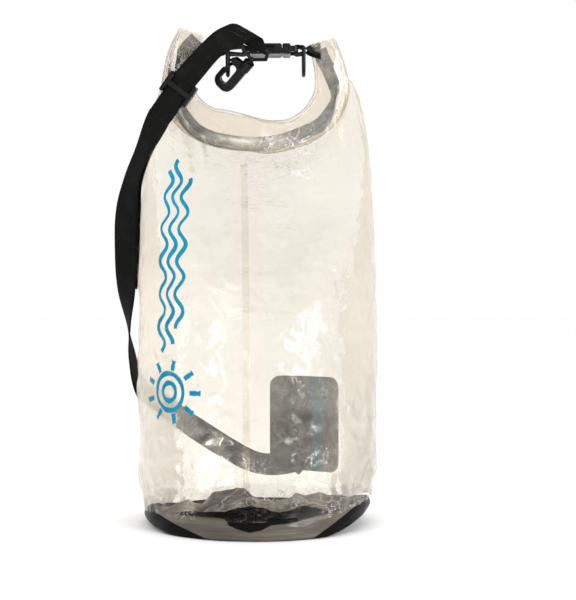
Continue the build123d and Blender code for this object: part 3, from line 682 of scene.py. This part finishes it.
def film_bag(material):
    bm = unit_tube(232, 132)

    def place(angle, share):
        low = flange_top(angle) - 0.003
        return film_point(angle, low + (mouth_height(angle) - low) * share)

    shape_tube(bm, place)
    piece = make_piece(bm, "film_bag", material)
    across_release(piece)
    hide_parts("body_tube")


def film_seam(material):
    """The tube's one lengthwise weld, down the back."""
    angle = math.radians(97)
    low, high = 0.012, MOUTH - 0.010
    width = 0.008

    def at(across, share):
        z = low + (high - low) * share
        return film_point(angle + across * width / BELLY, z, 0.0004 + 0.0004 * math.cos(across * 6) ** 2)

    bm = mapped_grid(6, 120, at, width, high - low)
    bmesh.ops.recalc_face_normals(bm, faces=bm.faces)
    make_piece(bm, "film_seam", material, "root")


# ------------------------------------------------------------------ rolled mouth

# The roll's middle line from the left arm's end to the right arm's: x, rise over the mouth, width.
ROLL_PATH = [
    (-0.0690, 0.1290, 0.028), (-0.0755, 0.1080, 0.036), (-0.0815, 0.0840, 0.038), (-0.0820, 0.0610, 0.040),
    (-0.0700, 0.0430, 0.042), (-0.0520, 0.0315, 0.0435), (-0.0300, 0.0265, 0.0435), (-0.0080, 0.0222, 0.0420),
    (0.0130, 0.0188, 0.0380), (0.0340, 0.0212, 0.0345), (0.0500, 0.0282, 0.0360), (0.0685, 0.0440, 0.040),
    (0.0775, 0.0620, 0.040), (0.0765, 0.0840, 0.037), (0.0725, 0.1060, 0.033), (0.0690, 0.1190, 0.027),
]
# The stiffener's middle line: x, rise over the mouth, turn about its length in degrees.
STRIP_PATH = [
    (-0.0640, 0.1220, 0), (-0.0750, 0.1100, 10), (-0.0860, 0.0930, 35), (-0.0900, 0.0740, 60),
    (-0.0865, 0.0570, 45), (-0.0775, 0.0400, 20), (-0.0660, 0.0260, 0), (-0.0500, 0.0175, 0),
    (-0.0340, 0.0135, 0), (-0.0080, 0.0105, 0), (0.0200, 0.0125, 0), (0.0414, 0.0190, 0),
    (0.0657, 0.0305, 12), (0.0753, 0.0440, 45), (0.0806, 0.0590, 72), (0.0816, 0.0710, 40),
    (0.0763, 0.0870, 12), (0.0700, 0.0990, 0), (0.0657, 0.1100, 0),
]


def path_frames(path, count):
    """Even stations along a path in the XZ plane: place, the way across it, and its extra value."""
    points = [((x, 0, MOUTH + rise), (extra, 0, 0)) for x, rise, extra in path]
    stations, length = smooth_route(points, count)
    frames = []
    for i, (place, extra) in enumerate(stations):
        along = (stations[min(i + 1, count)][0] - stations[max(i - 1, 0)][0]).normalized()
        frames.append((place, Vector((-along.z, 0, along.x)), extra.x))
    return frames, length


ROLL_TURNS = 2.0


def roll_section(share, width):
    """A point of the flattened spiral: across the roll and through its thickness."""
    turn = (share * ROLL_TURNS + 0.30) * 2 * math.pi
    shrink = 1 - share * 0.30
    across = width / 2 * shrink * math.copysign(abs(math.cos(turn)) ** 0.5, math.cos(turn))
    through = 0.0077 * (1 - share * 0.72) * math.copysign(abs(math.sin(turn)) ** 0.8, math.sin(turn))
    return across, through


def film_roll(material):
    """The mouth rolled down and flattened, from arm to arm."""
    count = 150
    frames, length = path_frames(ROLL_PATH, count)

    def at(around, share):
        place, side, width = frames[round(share * count)]
        across, through = roll_section(around + 0.5, width)
        run = share * length
        crumple = Vector((across * 60, run * 26, through * 200))
        lift = 0.0011 * noise.noise(crumple) + 0.0009 * (1 - abs(noise.noise(crumple * 2.3))) ** 6
        spread = 0.0016 * noise.noise(Vector((run * 34, around * 5, 4.0)))
        return place + side * (across + spread) + Vector((0, -(through + math.copysign(lift, through)), 0))

    bm = mapped_grid(64, count, at, 0.04, length)
    bmesh.ops.recalc_face_normals(bm, faces=bm.faces)
    piece = make_piece(bm, "film_roll", material, levels=1)
    across_release(piece)
    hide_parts("roll_centre", "roll_left_arm", "roll_right_arm")


def stiffener(material):
    """The plastic strip inside the roll. It stands on edge where the roll bends up."""
    count = 150
    frames, length = path_frames(STRIP_PATH, count)

    def at(across, share):
        place, side, turn = frames[round(share * count)]
        lean = math.radians(turn)
        face = side * math.cos(lean) + Vector((0, 1, 0)) * math.sin(lean)
        wave = 0.0006 * noise.noise(Vector((share * length * 30, across * 2, 1.3)))
        return place + face * (across * 0.0150) + Vector((0, wave - 0.0015, 0))

    bm = mapped_grid(4, count, at, 0.015, length)
    piece = make_piece(bm, "stiffener", material, thickness=0.0012)
    across_release(piece)
    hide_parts("stiffener_strip", "stiffener_end")


# ------------------------------------------------------------------ base

def rim_skin(material):
    """Film welded round the base's flange, a little wavy."""
    def place(angle, share):
        x, y = math.cos(angle), math.sin(angle)
        wave = 0.0010 * noise.noise(Vector((x * 5, y * 5, share * 2)))
        radius = RIM - 0.0012 + wave + 0.0010 * math.sin(share * math.pi)
        z = 0.0006 + (flange_top(angle) - 0.0002) * share + rim_lift(x * RIM)
        return Vector((radius * x, radius * y, z))

    bm = unit_tube(200, 12)
    shape_tube(bm, place)
    piece = make_piece(bm, "rim_skin", material, "root", thickness=0.0006, offset=-1)
    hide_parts("rim_band")


# Heights of the base's two front folds, by x: the black one at the flange, then the one behind it, on which a
# grey sheen is painted.
FRONT_FOLD = [(-0.110, 0.012), (-0.095, 0.018), (-0.072, 0.0255), (-0.030, 0.0275), (-0.016, 0.033),
              (-0.006, 0.035), (0.008, 0.031), (0.024, 0.028), (0.040, 0.030), (0.052, 0.033),
              (0.066, 0.0275), (0.085, 0.021), (0.110, 0.010)]
PAINTED_SHEEN_FOLD = [(-0.105, 0.008), (-0.090, 0.018), (-0.070, 0.029), (-0.056, 0.0265), (-0.047, 0.037),
              (-0.034, 0.0415), (-0.013, 0.0436), (-0.005, 0.035), (0.007, 0.030), (0.028, 0.0315),
              (0.040, 0.0365), (0.053, 0.032), (0.070, 0.0305), (0.089, 0.022), (0.105, 0.010)]


def base_height(x, y, outer, edge):
    """The base's surface: folds behind the front flange, and nearly flat at the back."""
    chord = math.sqrt(max(outer ** 2 - x ** 2, 1e-8))
    place = max(-1.0, min(1.0, y / chord))
    near, far = curve_between(FRONT_FOLD, x), curve_between(PAINTED_SHEEN_FOLD, x)
    table = [(-1.0, edge), (-0.94, near), (-0.86, near - 0.004), (-0.66, (near + far) / 2 - 0.007),
             (-0.45, far), (-0.30, far - 0.004), (0.05, 0.010), (0.4, 0.005), (1.0, edge)]
    return curve_between(table, place)


def base_sheet(material):
    """Black vinyl disc with its turned-down flange. Its middle is pushed up in soft folds."""
    outer = RIM - 0.0022
    flange = 0.14

    def place(angle, share):
        x, y = math.cos(angle), math.sin(angle)
        lift = rim_lift(x * outer)
        edge = flange_top(angle) - 0.0002
        if share <= flange:
            return Vector((outer * x, outer * y, 0.0008 + (edge - 0.0008) * share / flange + lift))
        reach = 1 - (share - flange) / (1 - flange)
        x, y = x * outer * reach, y * outer * reach
        inside = min(1.0, (1 - reach) / 0.10)
        folds = (0.0036 * noise.noise(Vector((x * 55, y * 18, 2.0)))
                 + 0.0016 * noise.noise(Vector((x * 130, y * 60, 7))))
        return Vector((x, y, base_height(x, y, outer, edge) + inside * folds + lift * reach))

    bm = unit_tube(260, 90)
    middle = [v for v in bm.verts if v.co.z > 1 - 1e-4]
    shape_tube(bm, place)
    bmesh.ops.pointmerge(bm, verts=middle, merge_co=sum((v.co for v in middle), Vector()) / len(middle))
    bmesh.ops.recalc_face_normals(bm, faces=bm.faces)
    piece = make_piece(bm, "base_sheet", material, "root", thickness=0.0012, offset=-1)
    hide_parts("base_disc")


# ------------------------------------------------------------------ print

PRINT_ANGLE = math.radians(-90 - 42.5)


def printed_stroke(name, outline, width, material):
    """A line of ink that follows the film. outline gives (across the bag, height) in metres."""
    count = 90
    spots = [outline(i / count) for i in range(count + 1)]

    def at(across, share):
        i = round(share * count)
        (x0, z0), (x1, z1) = spots[max(i - 1, 0)], spots[min(i + 1, count)]
        run = Vector((x1 - x0, z1 - z0)).normalized()
        x, z = spots[i]
        brush = width * (0.85 + 0.3 * noise.noise(Vector((share * 9, width * 900, 2.2))))
        x, z = x - run.y * across * brush, z + run.x * across * brush
        return film_point(PRINT_ANGLE + x / BELLY, z, 0.0005)

    bm = mapped_grid(3, count, at, width, 0.2)
    bmesh.ops.recalc_face_normals(bm, faces=bm.faces)
    make_piece(bm, name, material, "root", thickness=0.0002)


def print_motif(material):
    """Running waves up the bag, and a plain rayed sun under them."""
    low, high = 0.186, 0.382
    for row, (start, reach) in enumerate(((0.0, 0.94), (0.04, 1.0), (0.12, 0.90))):
        side = (row - 1) * 0.0125

        def wave(t, start=start, reach=reach, side=side):
            z = low + (high - low) * (start + (reach - start) * t)
            return side + 0.0052 * math.sin((z - low) * 190), z

        printed_stroke(f"print_wave_{row + 1}", wave, 0.0052, material)
    middle = 0.146
    for ring, radius in (("outer", 0.0185), ("inner", 0.0090)):
        def circle(t, radius=radius):
            return radius * math.sin(2 * math.pi * t), middle + radius * math.cos(2 * math.pi * t)

        printed_stroke(f"print_ring_{ring}", circle, 0.0052, material)
    for ray in range(9):
        turn = math.radians(40 * ray + 10)

        def spoke(t, turn=turn):
            radius = 0.0235 + 0.0110 * t
            return radius * 1.12 * math.sin(turn), middle + radius * 0.92 * math.cos(turn)

        printed_stroke(f"print_ray_{ray + 1}", spoke, 0.0056, material)


# ------------------------------------------------------------------ strap and webbing

# The strap's middle and the way its outer face looks, from the upper hook to the lower one.
STRAP_ROUTE = [
    ((-0.0169, -0.0353, 0.4981), (-0.01, -0.98, 0.18)),
    ((-0.0389, -0.0363, 0.4921), (-0.05, -1.00, 0.06)),
    ((-0.0579, -0.0343, 0.4811), (-0.14, -0.99, -0.01)),
    ((-0.0729, -0.0313, 0.4665), (-0.17, -0.98, -0.09)),
    ((-0.1029, -0.0223, 0.4251), (-0.17, -0.98, -0.09)),
    ((-0.1170, -0.0171, 0.3962), (-0.64, -0.75, 0.18)),
    ((-0.1309, -0.0131, 0.3618), (-0.68, -0.72, 0.14)),
    ((-0.1370, -0.0120, 0.3250), (-0.30, -0.95, -0.02)),
    ((-0.1380, -0.0089, 0.2848), (-0.30, -0.95, -0.08)),
    ((-0.1380, -0.0048, 0.2480), (-0.60, -0.78, -0.15)),
    ((-0.1369, 0.0041, 0.2120), (-0.96, -0.26, -0.13)),
    ((-0.1350, 0.0199, 0.1770), (-0.99, 0.13, -0.05)),
    ((-0.1280, 0.0451, 0.1399), (-0.92, 0.38, -0.04)),
    ((-0.1080, 0.0790, 0.1188), (-0.78, 0.62, -0.02)),
    ((-0.0741, 0.1119, 0.0880), (-0.58, 0.82, 0.02)),
    ((-0.0361, 0.1310, 0.0610), (-0.34, 0.94, 0.06)),
    ((-0.0039, 0.1399, 0.0440), (-0.20, 0.97, 0.13)),
]
# The strap's top, in front of the buckle: it bulges up and turns before its fold. Place, way across.
STRAP_TOP = [
    ((-0.0055, -0.0372, 0.5120), (0.87, -0.11, -0.48)),
    ((-0.0150, -0.0378, 0.5128), (0.70, -0.10, -0.70)),
    ((-0.0262, -0.0375, 0.5082), (0.48, -0.10, -0.87)),
    ((-0.0385, -0.0366, 0.5020), (0.38, -0.14, -0.91)),
    ((-0.0515, -0.0350, 0.4900), (0.50, -0.24, -0.83)),
]
UPPER_BAR = (Vector((-0.0012, -0.0293, 0.4995)), Vector((0.872, -0.116, -0.475)), Vector((0.475, 0.0, 0.880)))
LOWER_BAR = (Vector((0.0336, 0.1429, 0.0409)), Vector((0.764, -0.186, -0.617)), Vector((-0.60, 0.14, -0.785)))
EYE_RADIUS = 0.0029                       # bar, running gap and half a ply
OUTER_END = 9                             # the doubled end stops at this point of the route


def shifted(points, step):
    """Points moved out of the strap's face, which looks across its run and its width."""
    moved = []
    for i, (place, side) in enumerate(points):
        along = Vector(points[min(i + 1, len(points) - 1)][0]) - Vector(points[max(i - 1, 0)][0])
        face = Vector(side).cross(along).normalized()
        moved.append((Vector(place) + face * (step[i] if isinstance(step, list) else step), Vector(side)))
    return moved


def round_bar(bar, start, finish, count=7):
    """Stations round a hook's bar, seen along it, from one clock angle to another in degrees."""
    centre, along, up = bar
    front = along.cross(up).normalized()
    stations = []
    for i in range(count):
        turn = math.radians(start + (finish - start) * i / (count - 1))
        stations.append((centre + (front * math.cos(turn) - up * math.sin(turn)) * EYE_RADIUS, along))
    return stations


def shoulder_webbing(material):
    """One length of webbing: the loose end, round the upper bar, down to the lower bar and back a little."""
    low, high = Vector(STRAP_ROUTE[3][0]), Vector(STRAP_ROUTE[4][0])
    level = (low - high).cross(Vector(STRAP_ROUTE[3][1])).normalized()
    straight = [(low.lerp(high, share), level) for share in (0.0, 0.1, 0.3, 0.5, 0.7, 0.9, 1.0)]
    below = [(place, -side) for place, side in sides_of(STRAP_ROUTE)[5:]]
    body = [(Vector(place), Vector(side)) for place, side in STRAP_TOP] + straight + below
    first = len(STRAP_TOP) + len(straight) - 5
    end = first + OUTER_END
    bulge = [0.0] * len(body)
    for index, extra in ((6, 0.0020), (7, 0.0062), (8, 0.0050), (9, 0.0012)):
        bulge[first + index] = extra
    outer = shifted(body, [PLY_STEP + b for b in bulge])[:end + 1]
    inner = shifted(body, -PLY_STEP)
    upper = round_bar(UPPER_BAR, 0, 180)
    lower = round_bar(LOWER_BAR, 180, 0)
    stub = shifted(body, PLY_STEP)[:-4:-1]
    points = list(reversed(outer)) + upper + inner + lower + stub
    piece = ribbon("shoulder_webbing", points, WEB_WIDTH, PLY, 460, material, "root",
                   ripple=0.0003)
    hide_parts("shoulder_strap")


def tab_webbing(name, bar_x, ring_x, end_x, body, material):
    """Webbing from the roll's arm over a D-ring's bar, round the buckle's bar and back."""
    s = math.copysign(1, end_x)
    top = [
        (end_x + s * 0.004, 0.0008, 0, 1), (end_x, 0.0008, 0, 1), (ring_x + s * 0.0065, 0.0016, 0.3 * s, 1),
        (ring_x, 0.0031, 0, 1), ((ring_x + bar_x) / 2, 0.0036, 0, 1), (bar_x + s * 0.0010, 0.0041, 0, 1),
        (bar_x - s * 0.0020, 0.0033, -0.7 * s, 0.7), (bar_x - s * 0.0028, 0.0, -1.0 * s, 0.0),
    ]
    bottom = [(x, -z, fx, -fz) for x, z, fx, fz in reversed(top[:-1])]
    points = sides_of([((x, 0, BUCKLE_Z + z), (fx, 0, fz)) for x, z, fx, fz in top + bottom])
    for i, turn in ((0, 44), (1, 40), (2, 24), (-1, 44), (-2, 40), (-3, 24)):
        place, side = points[i]
        points[i] = (place, Matrix.Rotation(math.radians(turn), 3, "X") @ side)
    piece = ribbon(name, points, WEB_WIDTH, PLY, 150, material, body)
    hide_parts(name.replace("_webbing", ""))


PATCH_TURN = math.radians(25)
PATCH_OUT = Vector((math.sin(PATCH_TURN), math.cos(PATCH_TURN), 0))
PATCH_ACROSS = Vector((math.cos(PATCH_TURN), -math.sin(PATCH_TURN), 0))
PATCH_BAR = PATCH_OUT * 0.1317 + Vector((0, 0, 0.104))


def patch_webbing(material):
    """The short loop that holds the lower D-ring to its patch."""
    side = [(0.0185, -0.0012, 0, 1), (0.0080, -0.0010, 0, 1), (0.0032, 0.0008, 0.5, 0.9), (0.0, 0.0030, 0, 1),
            (-0.0022, 0.0021, -0.7, 0.7), (-0.0030, 0.0, -1, 0), (-0.0022, -0.0020, -0.7, -0.7),
            (0.0006, -0.0029, 0, -1), (0.0080, -0.0026, 0, -1), (0.0185, -0.0026, 0, -1)]
    points = [(PATCH_BAR + Vector((0, 0, up)) + PATCH_OUT * out,
               PATCH_OUT * face_out + Vector((0, 0, face_up)))
              for up, out, face_up, face_out in side]
    piece = ribbon("patch_webbing", sides_of(points), WEB_WIDTH, PLY, 90, material, "root")
    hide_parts("patch_loop")


def stitch_rows(name, rows, material, body):
    """Rows of short thread stitches. Each row is a start, an end and the face it lies on."""
    bm = bmesh.new()
    for start, end, face in rows:
        start, end, face = Vector(start), Vector(end), Vector(face).normalized()
        run = end - start
        count = max(2, round(run.length / 0.0028))
        along = run.normalized()
        basis = Matrix((along, face.cross(along).normalized(), face)).transposed().to_4x4()
        for i in range(count):
            place = start + run * ((i + 0.5) / count)
            size = Matrix.Diagonal((0.00105, 0.00034, 0.00026, 1))
            bmesh.ops.create_icosphere(bm, subdivisions=1, radius=1,
                                       matrix=Matrix.Translation(place) @ basis @ size)
    make_piece(bm, name, material, body)


def route_row(index, share, step, inset=0.0035):
    """A row of stitches across the strap, at a share of the way from one point of the route to the next."""
    (a, fa), (b, fb) = STRAP_ROUTE[index], STRAP_ROUTE[index + 1]
    a, b = Vector(a), Vector(b)
    face = Vector(fa).lerp(Vector(fb), share).normalized()
    side = (b - a).cross(face).normalized() * (WEB_WIDTH / 2 - inset)
    middle = a.lerp(b, share) + face * step
    return middle - side, middle + side, face


def all_stitches(material):
    lift = PLY_STEP + PLY / 2 + 0.0001
    slant = Vector((0.0110, -0.0012, -0.0060))
    rows = []
    for x, z in ((-0.0205, 0.5105), (-0.0135, 0.5135)):
        middle = Vector((x, -0.0376 - lift, z))
        rows.append((middle - slant, middle + slant, (0, -1, 0)))
    stitch_rows("upper_eye_stitches", rows, material, "root")
    rows = [route_row(15, 0.30, lift), route_row(15, 0.42, lift), route_row(14, 0.80, lift)]
    stitch_rows("lower_eye_stitches", rows, material, "root")
    half = WEB_WIDTH / 2 - 0.003
    for name, x, body in (("left_tab_stitches", -0.0405, "root"),
                          ("right_tab_stitches", 0.0575, "right_arm")):
        rows = [((x + step, -half, BUCKLE_Z + 0.0021 + rise),
                 (x + step, half, BUCKLE_Z + 0.0021 + rise), (0, 0, 1))
                for step, rise in ((0.0, 0.0002), (0.0030, 0.0))]
        stitch_rows(name, rows, material, body)
    middle = PATCH_BAR + PATCH_OUT * -0.0003
    rows = []
    for up in (0.0085, 0.0160):
        spot = middle + Vector((0, 0, up))
        rows.append((spot - PATCH_ACROSS * half, spot + PATCH_ACROSS * half, PATCH_OUT))
    stitch_rows("patch_stitches", rows, material, "root")


# ------------------------------------------------------------------ CAD nodes that stay

def finish_nodes(plastic, patch):
    kept = {"back_patch": patch}
    for name in ("buckle_female", "buckle_male", "buckle_prong_front", "buckle_prong_back", "left_dring",
                 "right_dring", "patch_dring", "upper_hook_body", "upper_hook_gate", "upper_hook_eye",
                 "lower_hook_body", "lower_hook_gate", "lower_hook_eye", "strap_slider"):
        kept[name] = plastic
    for name, material in kept.items():
        slots = bpy.data.objects[name].material_slots
        for slot in slots:
            slot.material = material


set_camera()
set_light()
set_floor()

clear_film = film_material("clear_film", (0.940, 0.916, 0.872), (0.90, 0.868, 0.81), 0.10)
rolled_film = film_material("rolled_film", (0.950, 0.926, 0.886), (0.90, 0.87, 0.815), 0.22)
vinyl = vinyl_material()
webbing = webbing_material()
thread = thread_material()
film_bag(clear_film)
film_seam(clear_film)
film_roll(rolled_film)
stiffener(stiffener_material())
rim_skin(band_material())
base_sheet(vinyl)
print_motif(ink_material())
shoulder_webbing(webbing)
tab_webbing("left_tab_webbing", -0.0143, -0.031, -0.063, "root", webbing)
tab_webbing("right_tab_webbing", 0.0417, 0.049, 0.063, "right_arm", webbing)
patch_webbing(webbing)
all_stitches(thread)
finish_nodes(plastic_material(), patch_material())
